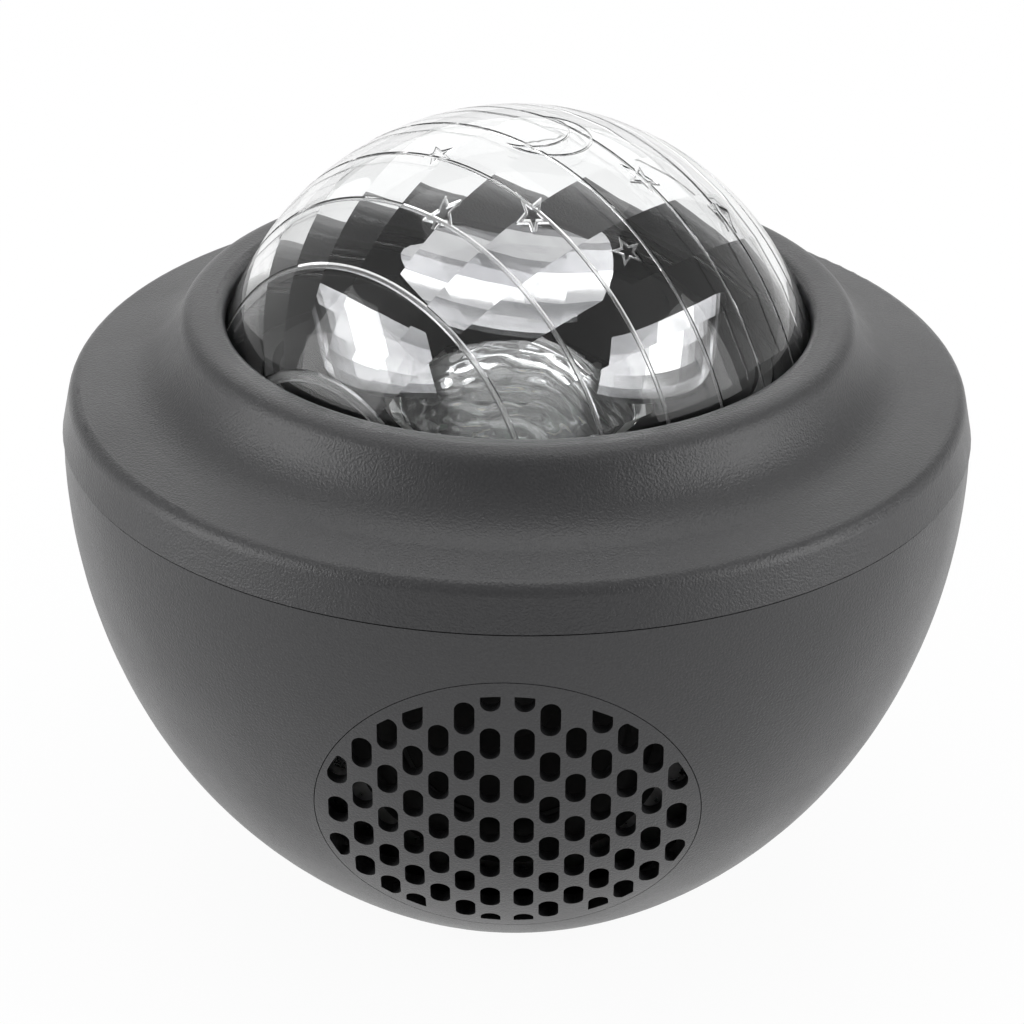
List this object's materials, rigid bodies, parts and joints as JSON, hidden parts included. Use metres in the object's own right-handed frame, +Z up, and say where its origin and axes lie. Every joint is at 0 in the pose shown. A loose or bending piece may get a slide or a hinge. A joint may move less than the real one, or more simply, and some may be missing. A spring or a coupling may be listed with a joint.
{
  "type": "night light projector",
  "caption": "Charcoal bowl-shaped night light projector with a slotted speaker grille, a raised collar and a clear dome over a turning ripple lens and a bright petal reflector.",
  "frame": {"origin": "on the surface the lamp stands on, under the axis of the bowl and the dome", "axes": "+Z up along the axis of the bowl, -Y towards the front, where the speaker grille is, +X to the right of a viewer in front"},
  "size_m": [0.1578, 0.1578, 0.1403],
  "materials": {
    "casing_plastic": "fine leathery grain, charcoal",
    "button_plastic": "satin charcoal",
    "clear_plastic": "clear and polished",
    "bright_plastic": "metallised, mirror bright",
    "black_plastic": "satin black",
    "white_plastic": "waxy natural white",
    "rubber": "matt black",
    "board_laminate": "green solder mask",
    "light_chip": "pale ceramic with a yellow face",
    "fin_aluminium": "plain extruded",
    "steel": "zinc plated",
    "magnet_ferrite": "dull grey black",
    "cone_paper": "black pressed paper",
    "coil_copper": "enamelled copper wire"
  },
  "bodies": {
    "housing": {"base_screws": "steel", "board_capacitors": "fin_aluminium", "board_chips": "black_plastic", "board_screws": "steel", "deck_screws": "steel", "dome_bezel": "black_plastic", "dome_gasket": "rubber", "dome_lens": "clear_plastic", "heat_sink": "fin_aluminium", "heat_sink_screws": "steel", "key_switches": "black_plastic", "led_board": "board_laminate", "led_chips": "light_chip", "led_lenses": "clear_plastic", "light_deck": "black_plastic", "lower_shell": "casing_plastic", "main_board": "board_laminate", "motor_can": "steel", "motor_gearbox": "black_plastic", "motor_screws": "steel", "power_inlet": "steel", "reflector_dish": "bright_plastic", "rotor_bush": "black_plastic", "rubber_feet": "rubber", "speaker_frame": "steel", "speaker_grille": "casing_plastic", "speaker_magnet": "magnet_ferrite", "speaker_pole": "steel", "speaker_screws": "steel", "speaker_surround": "rubber", "speaker_top_plate": "steel", "upper_shell": "casing_plastic"},
    "ripple_rotor": {"ring_gear": "white_plastic", "ripple_lens": "clear_plastic"},
    "drive_pinion": {"motor_pinion": "white_plastic", "motor_shaft": "steel"},
    "speaker_diaphragm": {"speaker_cone": "cone_paper", "speaker_dust_cap": "cone_paper", "speaker_voice_coil": "coil_copper"},
    "key_light": {"button_light": "button_plastic", "plunger_light": "white_plastic"},
    "key_colour": {"button_colour": "button_plastic", "plunger_colour": "white_plastic"},
    "key_music": {"button_music": "button_plastic", "plunger_music": "white_plastic"},
    "key_timer": {"button_timer": "button_plastic", "plunger_timer": "white_plastic"}
  },
  "joints": [
    {"name": "ripple_spin", "type": "hinge", "parent": "housing", "child": "ripple_rotor", "pos_m": [0, 0, 0.0849], "axis": [0, 0, 1], "continuous": true},
    {"name": "pinion_spin", "type": "hinge", "parent": "housing", "child": "drive_pinion", "pos_m": [-0.02263, 0.02263, 0.0849], "axis": [0, 0, 1], "continuous": true},
    {"name": "cone_travel", "type": "slide", "parent": "housing", "child": "speaker_diaphragm", "axis": [0, -1, 0], "range_m": [-0.001, 0.001], "stiffness_N_per_m": 400, "deforming": ["speaker_surround"]},
    {"name": "press_light", "type": "slide", "parent": "housing", "child": "key_light", "axis": [0, -1, 0], "range_m": [0, 0.0006], "stiffness_N_per_m": 200},
    {"name": "press_colour", "type": "slide", "parent": "housing", "child": "key_colour", "axis": [0, -1, 0], "range_m": [0, 0.0006], "stiffness_N_per_m": 200},
    {"name": "press_music", "type": "slide", "parent": "housing", "child": "key_music", "axis": [0, -1, 0], "range_m": [0, 0.0006], "stiffness_N_per_m": 200},
    {"name": "press_timer", "type": "slide", "parent": "housing", "child": "key_timer", "axis": [0, -1, 0], "range_m": [0, 0.0006], "stiffness_N_per_m": 200}
  ],
  "couplings": [
    {"joint": "pinion_spin", "follows": "ripple_spin", "ratio": -4.3333}
  ]
}
